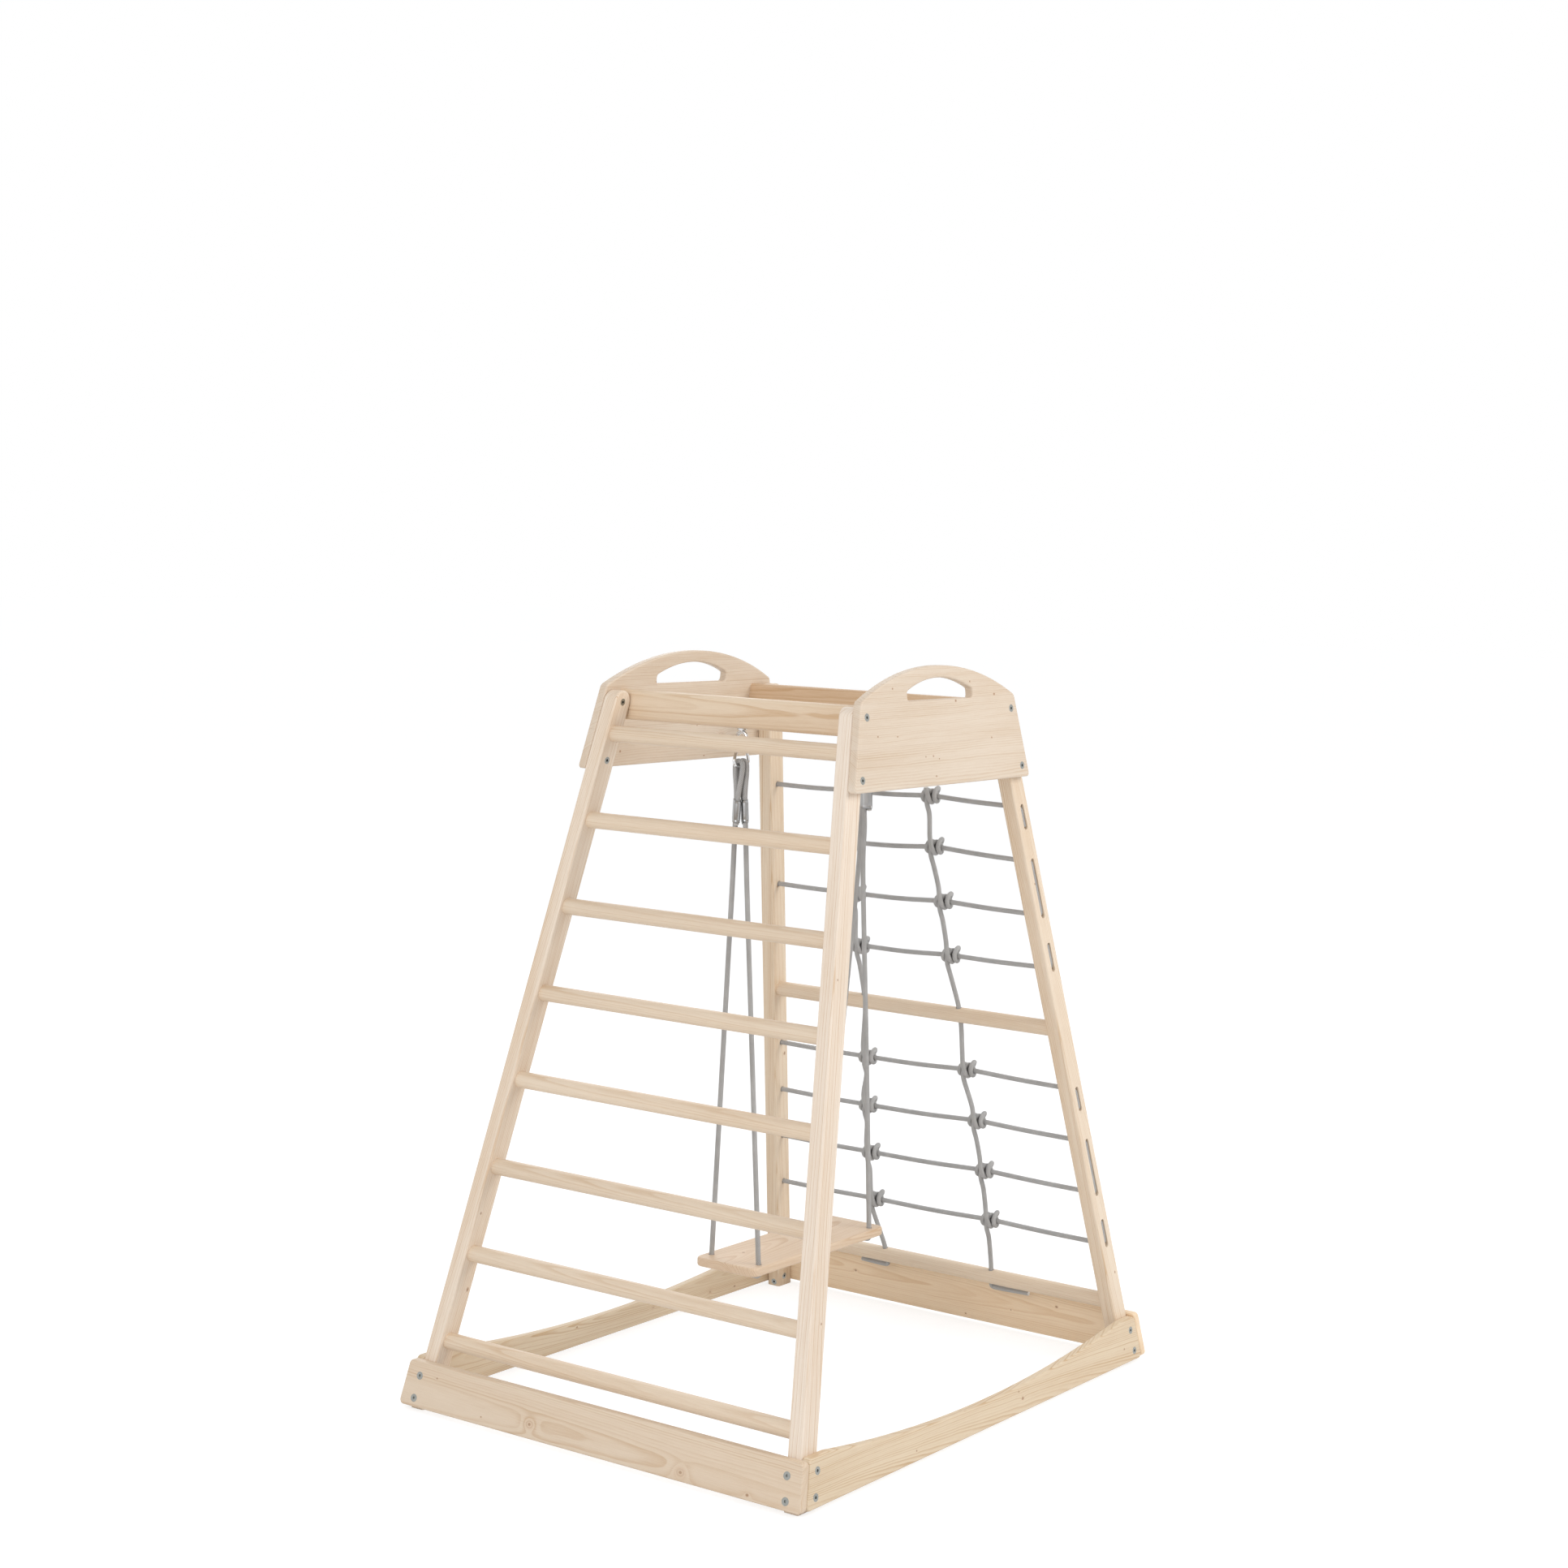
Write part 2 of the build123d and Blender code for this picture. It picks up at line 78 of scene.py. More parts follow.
KNOT_LIFT = {-1: [6.0, 9.0, 5.0, 0.0, 6.0, 5.0, 5.0, 4.0], 1: [1.0, 0.0, -1.0, -5.0, -1.0, -2.0, -1.0, 1.0]}


def net_x(z):
    """Distance of the net's plane from the tower's middle at height z, in mm."""
    return SIDE_FOOT - SIDE_LEAN * z


def smooth_line(points, steps):
    """Points of a quadratic NURBS spline with clamped ends, from its control points (mm), in metres."""
    data = bpy.data.curves.new("line", "CURVE")
    data.dimensions = "3D"
    spline = data.splines.new("NURBS")
    spline.points.add(len(points) - 1)
    packed = np.c_[np.array(points, float) / 1000, np.ones(len(points))]
    spline.points.foreach_set("co", packed.ravel())
    spline.order_u = 3
    spline.use_endpoint_u = True
    data.resolution_u = spline.resolution_u = steps
    holder = bpy.data.objects.new("line", data)
    mesh = bpy.data.meshes.new_from_object(holder)
    found = np.empty(len(mesh.vertices) * 3, np.float32)
    mesh.vertices.foreach_get("co", found)
    bpy.data.objects.remove(holder)
    bpy.data.meshes.remove(mesh)
    bpy.data.curves.remove(data)
    return found.reshape(-1, 3).astype(float)


def add_piece(name, verts, faces, uvs=None, parts=None):
    """Mesh object from arrays of points and faces, smooth shaded, with one UV a corner and part numbers."""
    mesh = bpy.data.meshes.new(name)
    mesh.from_pydata(verts.tolist(), [], faces)
    if uvs is not None:
        layer = mesh.uv_layers.new(name="UVMap")
        layer.data.foreach_set("uv", np.asarray(uvs, np.float32).ravel())
    if parts is not None:
        mesh.polygons.foreach_set("material_index", np.asarray(parts, np.int32))
    mesh.polygons.foreach_set("use_smooth", np.ones(len(mesh.polygons), bool))
    mesh.update()
    piece = bpy.data.objects.new(name, mesh)
    scene.collection.objects.link(piece)
    return piece


def rope_piece(name, line, sides=14):
    """Tube about a line, closed by domes. Ring i is centre_i + radius * scale_i * (cos a * n + sin a * b).

    n is any normal of the line turned by a running sum, so that neighbouring rings don't twist. The domes
    are rings whose scale falls as a cosine while their centres move out by a sine. U runs once round, V is
    the length in metres.
    """
    r = ROPE / 1000
    keep = np.r_[True, np.linalg.norm(np.diff(line, axis=0), axis=1) > 1e-6]
    line = line[keep]
    along = np.gradient(line, axis=0)
    along /= np.linalg.norm(along, axis=1)[:, None]
    basis = np.eye(3)[np.argmin(np.abs(along), axis=1)]
    n = np.cross(along, basis)
    n /= np.linalg.norm(n, axis=1)[:, None]
    b = np.cross(along, n)
    carried = n[:-1] - (n[:-1] * along[1:]).sum(1)[:, None] * along[1:]
    step = np.arctan2((carried * b[1:]).sum(1), (carried * n[1:]).sum(1))
    spin = np.r_[0, np.cumsum(step)]
    run = np.r_[0, np.cumsum(np.linalg.norm(np.diff(line, axis=0), axis=1))]
    dome = np.radians([88, 62, 36, 14])
    centre = np.r_[line[0] - along[0] * r * 0.4 * np.sin(dome)[:, None], line,
                   line[-1] + along[-1] * r * 0.4 * np.sin(dome[::-1])[:, None]]
    scale = np.r_[np.cos(dome), np.ones(len(line)), np.cos(dome[::-1])]
    four = np.zeros(4, int)
    pick = np.r_[four, np.arange(len(line)), four + len(line) - 1]
    a = np.arange(sides) / sides * 2 * np.pi + spin[pick][:, None]
    ring = np.cos(a)[..., None] * n[pick][:, None] + np.sin(a)[..., None] * b[pick][:, None]
    verts = centre[:, None] + ring * (r * scale)[:, None, None]
    rows, cols = np.meshgrid(np.arange(len(centre) - 1), np.arange(sides), indexing="ij")
    rows, cols = rows.ravel(), cols.ravel()
    after = (cols + 1) % sides
    quads = np.stack([rows * sides + cols, rows * sides + after,
                      (rows + 1) * sides + after, (rows + 1) * sides + cols], 1)
    v = run[pick] + r * np.r_[-np.sin(dome), np.zeros(len(line)), np.sin(dome[::-1])]
    u0, u1, v0, v1 = cols / sides, (cols + 1) / sides, v[rows], v[rows + 1]
    uv = np.stack([np.stack(pair, 1) for pair in ((u0, v0), (u1, v0), (u1, v1), (u0, v1))], 1)
    last = (len(centre) - 1) * sides
    faces = quads.tolist() + [list(range(sides))[::-1], list(range(last, last + sides))]
    caps = np.full((2 * sides, 2), [0.5, -1.0])
    parts = np.r_[(rows < 4) | (rows >= len(centre) - 5), True, True].astype(int)
    return add_piece(name, verts.reshape(-1, 3), faces, np.r_[uv.reshape(-1, 2), caps], parts)


class Value:
    """One value in a material's node tree. Arithmetic on it adds Math nodes, or Vector Math nodes."""

    def __init__(self, tree, socket):
        self.tree, self.socket = tree, socket

    def op(self, operation, *others):
        kind = "Math"
        every = (self,) + others
        if any(isinstance(x, Value) and x.socket.type == "VECTOR" for x in every):
            kind = "VectorMath"
            every = tuple((x, x, x) if isinstance(x, (int, float)) else x for x in every)
        return self.tree.add(kind, {"operation": operation}, dict(enumerate(every)))

    def __add__(self, other):
        return self.op("ADD", other)

    __radd__ = __add__

    def __sub__(self, other):
        return self.op("SUBTRACT", other)

    def __rsub__(self, other):
        return self.tree.add("Math", {"operation": "SUBTRACT"}, {0: other, 1: self})

    def __mul__(self, other):
        return self.op("MULTIPLY", other)

    def __truediv__(self, other):
        return self.op("DIVIDE", other)

    def smooth(self, low, high):
        """0 up to low, 1 from high, a smooth step between."""
        return self.tree.add("MapRange", {"interpolation_type": "SMOOTHSTEP"}, {0: self, 1: low, 2: high})

    def dot(self, vector):
        return self.tree.add("VectorMath", {"operation": "DOT_PRODUCT"}, {0: self, 1: vector}, 1)


class Finish:
    """A material, or a world, under construction: add() makes any node, surface() ends a material."""

    def __init__(self, name, kind="materials"):
        self.data = getattr(bpy.data, kind).new(name)
        self.data.use_nodes = True
        self.nodes = self.data.node_tree.nodes
        self.nodes.clear()

    def add(self, kind, settings=None, sockets=None, out=0):
        node = self.nodes.new("ShaderNode" + kind)
        for key, value in (settings or {}).items():
            setattr(node, key, value)
        for key, value in (sockets or {}).items():
            if isinstance(value, Value):
                self.data.node_tree.links.new(value.socket, node.inputs[key])
            else:
                node.inputs[key].default_value = value
        return Value(self, node.outputs[out]) if len(node.outputs) else None

    def vector(self, x, y, z):
        return self.add("CombineXYZ", {}, {0: x, 1: y, 2: z})

    def noise(self, vector, scale=1.0, detail=2.0, rough=0.5):
        sockets = {"Vector": vector, "Scale": scale, "Detail": detail, "Roughness": rough}
        return self.add("TexNoise", {}, sockets)

    def mix(self, share, low, high, way="MIX"):
        settings = {"data_type": "RGBA", "blend_type": way}
        return self.add("Mix", settings, {0: share, 6: low, 7: high}, 2)

    def surface(self, height=None, depth=0.0002, strength=0.5, **sockets):
        named = {key.replace("_", " "): value for key, value in sockets.items()}
        if height is not None:
            named["Normal"] = self.add("Bump", {}, {"Strength": strength, "Distance": depth, "Height": height})
        shader = self.add("BsdfPrincipled", {}, named)
        self.add("OutputMaterial", {}, {0: shader})
        return self.data


def braided_rope():
    """Twenty-plait cover: two families of helices, a = 10u + v/pitch and b = 10u - v/pitch.

    Where floor(a) + floor(b) is even the first family lies on top, elsewhere the second. A plait's height is
    a half sine across it and bows down where it dives under its neighbour.
    """
    f = Finish("rope_braid")
    uv = f.add("UVMap", {"uv_map": "UVMap"})
    u = uv.dot((1, 0, 0))
    v = uv.dot((0, 1, 0))
    turn = v / PLAIT_PITCH
    a = u * 10 + turn
    b = u * 10 - turn
    even = (a.op("FLOOR") + b.op("FLOOR")).op("MODULO", 2.0).op("ABSOLUTE")
    across_a = (a.op("FRACT") * math.pi).op("SINE")
    across_b = (b.op("FRACT") * math.pi).op("SINE")
    top_a = across_a.op("POWER", 0.6) * (across_b * 0.45 + 0.55)
    top_b = across_b.op("POWER", 0.6) * (across_a * 0.45 + 0.55)
    height = top_a * (1.0 - even) + top_b * even
    yarn_a = (a * (2 * math.pi * 4)).op("SINE")
    yarn_b = (b * (2 * math.pi * 4)).op("SINE")
    yarn = yarn_a * (1.0 - even) + yarn_b * even
    place = f.add("TexCoord", {}, {}, 3)
    worn = f.noise(place, 38.0, 3.0, 0.6)
    fuzz = f.noise(place, 900.0, 2.0, 0.6)
    # The colour darkens with the plait's height: painted shade in the gaps where a plait dives under its
    # neighbour. Yarn, worn and fuzz add the rope's own mottled tone.
    light = height.smooth(0.15, 0.95) * 0.72 + yarn * 0.05 + (worn - 0.5) * 0.35 + (fuzz - 0.5) * 0.3 + 0.2
    colour = f.mix(light.smooth(0.0, 1.0), (0.115, 0.11, 0.107, 1), (0.59, 0.58, 0.565, 1))
    return f.surface(height + yarn * 0.12 + fuzz * 0.15, 0.0006, 0.75, Base_Color=colour,
                     Roughness=0.58 - height * 0.14)


def cut_end():
    """Heat-sealed end of the rope: pale melted fibre with a mottled skin."""
    f = Finish("rope_cut_end")
    place = f.add("TexCoord", {}, {}, 3)
    spots = f.noise(place, 700.0, 3.0, 0.7)
    colour = f.mix(spots.smooth(0.3, 0.7), (0.62, 0.6, 0.57, 1), (0.83, 0.82, 0.79, 1))
    return f.surface(spots, 0.0006, 0.7, Base_Color=colour, Roughness=0.35 + spots * 0.3)


rope_cover = braided_rope()
rope_end = cut_end()


def finish_rope(piece, body, node, ends):
    """Dress a rope piece, let it ride and stand for its CAD node."""
    for material in (rope_cover, ends):
        piece.data.materials.append(material)
    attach(piece, body)
    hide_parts(node)


def level_run(z, lifts, knot_y, way):
    """Control points of one level rope from the front groove to the rear one, or back where way is -1."""
    inner = END_FOOT - END_LEAN * z - POST_DEPTH
    groove = END_FOOT - END_LEAN * z - GROOVE_DEPTH
    reach = 18.0
    spots = [(-groove, 0), (-inner - 4, 0), (-inner + 14, 0)]
    spots += [(-(inner + knot_y) / 2, lifts[0] * 0.5 - 1.5), (-knot_y - reach, lifts[0] * 0.95)]
    spots += [(-knot_y, lifts[0]), (-knot_y + reach, lifts[0] * 0.9), (0, (lifts[0] + lifts[1]) / 2 - 3.0)]
    spots += [(knot_y - reach, lifts[1] * 0.9), (knot_y, lifts[1]), (knot_y + reach, lifts[1] * 0.95)]
    spots += [((inner + knot_y) / 2, lifts[1] * 0.5 - 1.5), (inner - 14, 0), (inner + 4, 0), (groove, 0)]
    points = [(net_x(z + lift), y, z + lift) for y, lift in spots]
    return points if way > 0 else points[::-1]


def groove_point(end, z):
    """Middle of the rope in the groove of the front (-1) or rear (1) net post at height z, in mm."""
    return (net_x(z), end * (END_FOOT - END_LEAN * z - GROOVE_DEPTH), z)


for name, levels, first in (("upper", UPPER, 0), ("lower", LOWER, 4)):
    top, bottom = levels[0] - START_DROP, levels[-1] + END_RISE
    route = [groove_point(-1, top), groove_point(-1, (top + levels[0]) / 2)]
    way = 1
    for i, z in enumerate(levels):
        if i:
            route += [groove_point(-way, levels[i - 1] - GROOVE_BEND), groove_point(-way, z + GROOVE_BEND)]
        lifts = (KNOT_LIFT[-1][first + i], KNOT_LIFT[1][first + i])
        route += level_run(z, lifts, KNOT_Y[first + i], way)
        way = -way
    route += [groove_point(-1, (bottom + levels[-1]) / 2), groove_point(-1, bottom)]
    lacing = rope_piece("lacing_" + name, smooth_line(route, 7))
    finish_rope(lacing, "frame", "net_lacing_" + name, rope_cover)


# Upright net ropes: two lengths of the same rope. Each is hitched round all eight level ropes, goes
# through a hole in both net rungs and ends in a heat-sealed tail that lies under the bottom rung.
# The hitch goes twice round the level rope, crosses itself behind and leaves under its own first turn.
HITCH = np.array([
    (1.0, 16.0, 36.0), (1.6, 18.4, 23.2), (3.3, 19.3, 9.1), (5.6, 16.6, -3.8), (5.7, 9.2, -11.6),
    (3.0, -1.4, -11.7), (-0.8, -9.7, -5.6), (-5.3, -10.6, 3.6), (-9.1, -4.1, 10.5), (-12.0, 5.9, 9.8),
    (-13.8, 11.5, 0.8), (-13.6, 7.1, -9.1), (-11.0, -6.3, -12.5), (-6.5, -18.6, -8.9), (1.5, -21.5, 1.7),
    (9.1, -16.7, 12.3), (12.3, -4.8, 14.7), (13.2, 7.6, 8.8), (14.4, 11.6, -1.8), (14.9, 4.7, -10.5),
    (12.1, -6.0, -9.8), (7.9, -11.5, -0.5), (2.9, -7.0, 9.0), (0.0, 3.5, 11.1), (-2.7, 10.9, 3.3),
    (-4.9, 11.9, -10.4), (-3.9, 10.5, -24.3), (-2.0, 9.0, -36.0)])
MIDDLE_RUNG_WAY = (731.0, 715.0, 699.0, 683.0)
BOTTOM_RUNG_WAY = (152.0, 134.0, 117.0, 104.5)
FOOT_Y, FOOT_Z = 134.0, 128.0
NET_UP = np.array([-SIDE_LEAN, 0, 1]) / math.hypot(SIDE_LEAN, 1)
NET_IN = np.array([-1, 0, -SIDE_LEAN]) / math.hypot(SIDE_LEAN, 1)


def hitch(centre, start=0):
    """Control points of one hitch: centre + across * -Y + towards the inside * in + up * the net's slope."""
    local = HITCH[start:]
    return centre + local[:, :1] * np.array([0, -1, 0]) + local[:, 1:2] * NET_IN + local[:, 2:] * NET_UP


for end, name, tail in ((-1, "front", 88.0), (1, "rear", 72.0)):
    heights = [z + lift for z, lift in zip(UPPER + LOWER, KNOT_LIFT[end])]
    flat = [np.array((net_x(z), end * y, z)) for z, y in zip(UPPER + LOWER, KNOT_Y)]
    seats = [np.array((net_x(z), end * y, z)) for z, y in zip(heights, KNOT_Y)]
    route = [hitch(seats[0], 1)]
    route += [hitch(seat) for seat in seats[1:4]]
    line = flat[4] - flat[3]
    route += [[flat[3] + line * (flat[3][2] - z) / -line[2] for z in MIDDLE_RUNG_WAY]]
    route += [hitch(seat) for seat in seats[4:]]
    foot = np.array((net_x(FOOT_Z), end * FOOT_Y, FOOT_Z))
    line = foot - flat[7]
    ways = [flat[7] + line * (flat[7][2] - z) / -line[2] for z in BOTTOM_RUNG_WAY]
    corner = ways[-1]
    ways += [corner + (2.0, end * 16.0, -1.0), corner + (4.5, end * tail / 2, -1.2)]
    ways += [corner + (6.0, end * tail, -0.5)]
    route += [ways]
    upright = rope_piece("net_upright_" + name, smooth_line(np.concatenate(route), 5), 12)
    finish_rope(upright, "frame", "net_rope_" + name, rope_end)


# Swing ropes: one length a side. Each end turns back round the link's bar and is held in a pressed
# sleeve; the middle goes down through one hole of the seat, under it and up through the other. The eyes
# turn by 42 and 32 degrees on their way down, which keeps the two sleeves of a side clear of each other.
HOOK_X, BAR_Z, EYE_SPREAD = 215.57, 1249.3, 6.5
HOLE_X, HOLE_Y = 190.0, 57.0
SEAT_TOP, SEAT_THICK = 288.0, 18.0
SLEEVE_TOP, SLEEVE_LENGTH, SLEEVE_WALL, LEG = 65.0, 44.0, 1.5, 5.2
EYE_TURN = {-1: 42.0, 1: -32.0}
EYE = [(-LEG, 112), (-LEG, 88), (-5.3, 64), (-7.4, 38), (-8.5, 13), (-8.5, -8.6), (8.5, -8.6), (8.5, 13),
       (7.4, 38), (5.3, 64), (LEG, 88), (4.9, 112), (4.0, 150)]


def sleeve_grid(bar, pair, flat, down):
    """Stadium tube with a rounded wall: point = bar + down * s + pair * (leg or -leg) + r * (circle).

    s and r follow a closed rounded section of the wall, so the grid closes both round the legs and along
    them. r swells by a few hundredths towards both rims, where the press let go.
    """
    turn = np.radians([0, 30, 60, 90])
    edge = SLEEVE_WALL / 2
    r0 = ROPE + 0.2
    lower = np.c_[edge * np.sin(turn), edge * np.cos(turn)]
    tops = [(-s, r) for s, r in lower[::-1]] + [(-s, -r) for s, r in lower[1:]]
    ends = [(s, -r) for s, r in lower[::-1]] + [(s, r) for s, r in lower[1:]]
    walls = np.linspace(0, 1, 8)[1:-1]
    outer = np.c_[SLEEVE_TOP + edge + (SLEEVE_LENGTH - 2 * edge) * walls, np.full(6, r0 + 2 * edge)]
    swell = 0.1 * (2 * np.abs(walls - 0.5)) ** 4
    outer[:, 1] += swell
    inner = np.c_[outer[::-1, 0], np.full(6, r0)]
    top = np.array(tops[::-1]) + (SLEEVE_TOP + edge, r0 + edge)
    end = np.array(ends[::-1]) + (SLEEVE_TOP + SLEEVE_LENGTH - edge, r0 + edge)
    section = np.r_[top, outer, end, inner]
    angle = (np.arange(36) + 0.5) / 36 * 2 * np.pi
    side = np.sign(np.cos(angle)) * LEG
    ring = side[:, None] + section[None, :, 1] * np.cos(angle)[:, None]
    thick = section[None, :, 1] * np.sin(angle)[:, None]
    verts = bar + ring[..., None] * pair + thick[..., None] * flat + section[None, :, :1] * down
    n, m = verts.shape[:2]
    i, j = np.meshgrid(np.arange(n), np.arange(m), indexing="ij")
    i, j, k, l = i.ravel(), j.ravel(), ((i + 1) % n).ravel(), ((j + 1) % m).ravel()
    quads = np.stack([i * m + l, i * m + j, k * m + j, k * m + l], 1)
    return verts.reshape(-1, 3) / 1000, quads


sleeves, sleeve_faces, count = [], [], 0
for side, name in ((-1, "ladder"), (1, "net")):
    halves = []
    for end in (-1, 1):
        bar = np.array((side * (HOOK_X + end * EYE_SPREAD), 0.0, BAR_Z))
        hole = np.array((side * HOLE_X, end * HOLE_Y, SEAT_TOP - SEAT_THICK / 2))
        down = (hole - bar) / np.linalg.norm(hole - bar)
        over = np.array((0.0, end, 0.0)) - down * down[1] * end
        over /= np.linalg.norm(over)
        beside = np.cross(down, over)
        half = []
        lay = -1 if side > 0 > end else 1
        twist = math.radians(EYE_TURN[side])
        for a, b in EYE:
            share = min(max((b - 8.0) / 50.0, 0.0), 1.0)
            angle = twist * share * share * (3 - 2 * share)
            half += [bar + (over * math.cos(angle) + beside * math.sin(angle)) * a * lay + down * b]
        pair = over * math.cos(twist) + beside * math.sin(twist)
        points, quads = sleeve_grid(bar, pair, np.cross(down, pair), down)
        sleeves.append(points)
        sleeve_faces.append(quads + count)
        count += len(points)
        for z, bow in ((1040.0, 9.0), (900.0, 7.0), (600.0, 2.5)):
            sway = np.array((-0.55, 0.8, 0.0)) * bow * (side > 0 > end)
            half += [bar + down * (z - BAR_Z) / down[2] + sway]
        half += [bar + down * (z - BAR_Z) / down[2] for z in (330.0, 292.0, 277.0)]
        corner = bar + down * (264.7 - BAR_Z) / down[2]
        half += [corner, corner + (0.0, -end * 15.0, 0.0)]
        halves.append(half)
    route = halves[0] + halves[1][::-1]
    rope = rope_piece("swing_line_" + name, smooth_line(route, 8))
    finish_rope(rope, "swing", "swing_rope_" + name, rope_end)


def metal(name, colour, rough, grain, brushed=(1.0, 1.0, 1.0)):
    """Metal with a mottled plating: roughness and tint follow a noise stretched by brushed."""
    f = Finish(name)
    place = f.add("TexCoord", {}, {}, 3)
    spots = f.noise(place * tuple(float(b) for b in brushed), grain, 3.0, 0.6)
    tint = f.mix(spots.smooth(0.25, 0.75), (*[c * 0.82 for c in colour], 1), (*colour, 1))
    return f.surface(spots, 0.0001, 0.25, Base_Color=tint, Metallic=1.0, Roughness=rough - 0.08 + spots * 0.16)


pressed = add_piece("pressed_sleeves", np.concatenate(sleeves), np.concatenate(sleeve_faces).tolist())
pressed.data.materials.append(metal("pressed_aluminium", (0.42, 0.42, 0.42), 0.3, 300.0, (1, 1, 0.1)))
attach(pressed, "swing")
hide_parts("swing_sleeves")


# Sawn and planed spruce: growth rings about a pith that lies beside the piece, with fine fibres along it,
# small knots and a clear satin lacquer. Every wooden piece below gets its own cut from such a log.
def pine(name, centre, along, across, pith, pale, ring=2.3, tilt=0.0, wild=9.0, knots=(), glued=(), seed=0.0,
         plain=1.0):
    """Ring number = distance from the pith / ring + wander + a bulge round each knot.

    centre (mm) is a point of the piece, along and across its grain and its face's width. pith is the pith's
    place (across, through) in mm, and tilt how far it slants through the piece for each mm along it, which
    draws the ring lines out to arches. A knot is (along, across, radius) in mm. glued lists the places
    across the face where two laths meet, each of which starts a fresh part of the log.
    """
    f = Finish("pine_" + name)
    along = np.array(along, float) / np.linalg.norm(along)
    across = np.array(across, float) - along * np.dot(across, along)
    across /= np.linalg.norm(across)
    through = np.cross(along, across)
    place = f.add("TexCoord", {}, {}, 3)
    rel = (place - tuple(np.array(centre) / 1000)) * 1000.0
    a, w, t = (rel.dot(tuple(axis)) for axis in (along, across, through))
    lath = 0.0
    joint = 0.0
    for z in glued:
        lath = (w - z).op("GREATER_THAN", 0.0) + lath
        joint = 1.0 - (w - z).op("ABSOLUTE").smooth(0.1, 0.8) + joint
    shift = lath * 37.0 + seed
    wander = f.noise(f.vector(a * 0.0028 + shift, w * 0.013 + seed, t * 0.013), 1.0, 2.0, 0.4)
    waves = f.noise(f.vector(a * 0.016 + shift, w * 0.05, t * 0.05 + seed), 1.0, 1.0, 0.4)
    ww = w + (lath * 31.0 - pith[0])
    tt = t - (lath * 9.0 + pith[1]) + a * tilt
    rings = (ww * ww + tt * tt).op("SQRT") + (wander - 0.5) * wild + (waves - 0.5) * (wild * 0.16)
    dark = blush = 0.0
    for ka, kw, kr in knots:
        da = (a - ka) * 0.8
        dw = w - kw
        far = (da * da + dw * dw).op("SQRT")
        rings = rings + (far / (-kr * 1.3)).op("EXPONENT") * (kr * 1.5)
        body = 1.0 - far.smooth(kr * 0.75, kr * 1.02)
        swirl = (far * (9.0 / kr)).op("SINE") * 0.16
        heart = 1.0 - far.smooth(kr * 0.1, kr * 0.6)
        small = 0.62 if kr < 4 else 0.22
        dark = body * (swirl + small) + heart * (body * 0.28) + dark
        blush = (1.0 - far.smooth(kr * 0.8, kr * 2.3)) * 0.3 + blush
    number = rings / ring
    part = number.op("FRACT")
    strong = f.noise(f.vector(number.op("FLOOR") * 7.31, seed, 0.5), 1.0, 0.0, 0.5)
    late = part.smooth(0.25, 0.88) * (1.0 - part.smooth(0.9, 1.0)) * strong.smooth(0.2, 0.75) * plain
    fibre = f.noise(f.vector(a * 0.02 + shift, w * 0.8, t * 0.8 + seed), 1.0, 3.0, 0.62)
    fleck = f.noise(f.vector(a * 0.12 + shift, w * 2.6, t * 2.6 + seed), 1.0, 2.0, 0.6)
    broad = f.noise(f.vector(a * 0.0022 + seed, w * 0.02, t * 0.02 + shift), 1.0, 1.0, 0.5)
    share = late * 0.52 + (fibre - 0.5) * 0.62 + (fleck - 0.5) * 0.3 + (broad - 0.5) * 0.6 + 0.14
    tan = (pale[0] * 0.72, pale[1] * 0.56, pale[2] * 0.39)
    colour = f.mix(share.smooth(-0.15, 1.05), (*pale, 1), (*tan, 1))
    if glued:
        colour = f.mix(joint * 0.3, colour, (0.45, 0.29, 0.17, 1))
    if knots:
        colour = f.mix(blush.smooth(0.0, 1.0), colour, (0.62, 0.40, 0.25, 1))
        colour = f.mix(dark.smooth(0.0, 1.0), colour, (0.34, 0.18, 0.09, 1))
    height = late * 0.25 + fibre * 0.7 + fleck * 0.3
    rough = 0.5 + (fibre - 0.5) * 0.12 - late * 0.06
    return f.surface(height, 0.00016, 0.3, Base_Color=colour, Roughness=rough)


def dress(node, material):
    """Give a CAD node its finish."""
    for slot in nodes[node].material_slots:
        slot.material = material


# Posts: four planed bars, 46.5 by 31 mm, with rounded arrises and a round top end. They lean inwards both
# ways and are the frame that everything is bolted or let into.
POST_PALE = (0.865, 0.755, 0.64)
POST_SIDE, POST_END, POST_MIDDLE = 582, 440, 690
post_knots = {(0, 0): [(-395, 9, 2.2), (210, -12, 1.8)],
              (0, 1): [(120, 6, 3.5), (-330, -10, 2.4), (-480, 12, 3.8)],
              (1, 0): [(-520, 10, 2.4), (330, -8, 2.0)],
              (1, 1): [(-140, 11, 3.5), (260, -6, 2.4)]}
for i, (side, side_name) in enumerate(((-1, "ladder"), (1, "net"))):
    for j, (end, end_name) in enumerate(((-1, "front"), (1, "rear"))):
        lean = (-side * SIDE_LEAN, -end * END_LEAN, 1.0)
        middle = (side * (POST_SIDE - SIDE_LEAN * POST_MIDDLE),
                  end * (POST_END - END_LEAN * POST_MIDDLE), POST_MIDDLE)
        # Painted shade: the net-side posts and the rear posts get a darker, warmer copy of the pale colour.
        painted_shade = 1.0 - 0.07 * i - 0.03 * j
        pale = tuple(c * (painted_shade ** k) for c, k in zip(POST_PALE, (0.6, 1.0, 1.9)))
        dress("post_" + side_name + "_" + end_name,
              pine("post_" + side_name + end_name, middle, lean, (1, 0, 0), (34 + 14 * j, 52 - 10 * i), pale,
                   2.0, 0.012 * (1 + i), 6.0, post_knots[(i, j)], (), 3.1 + 5.7 * i + 2.3 * j))


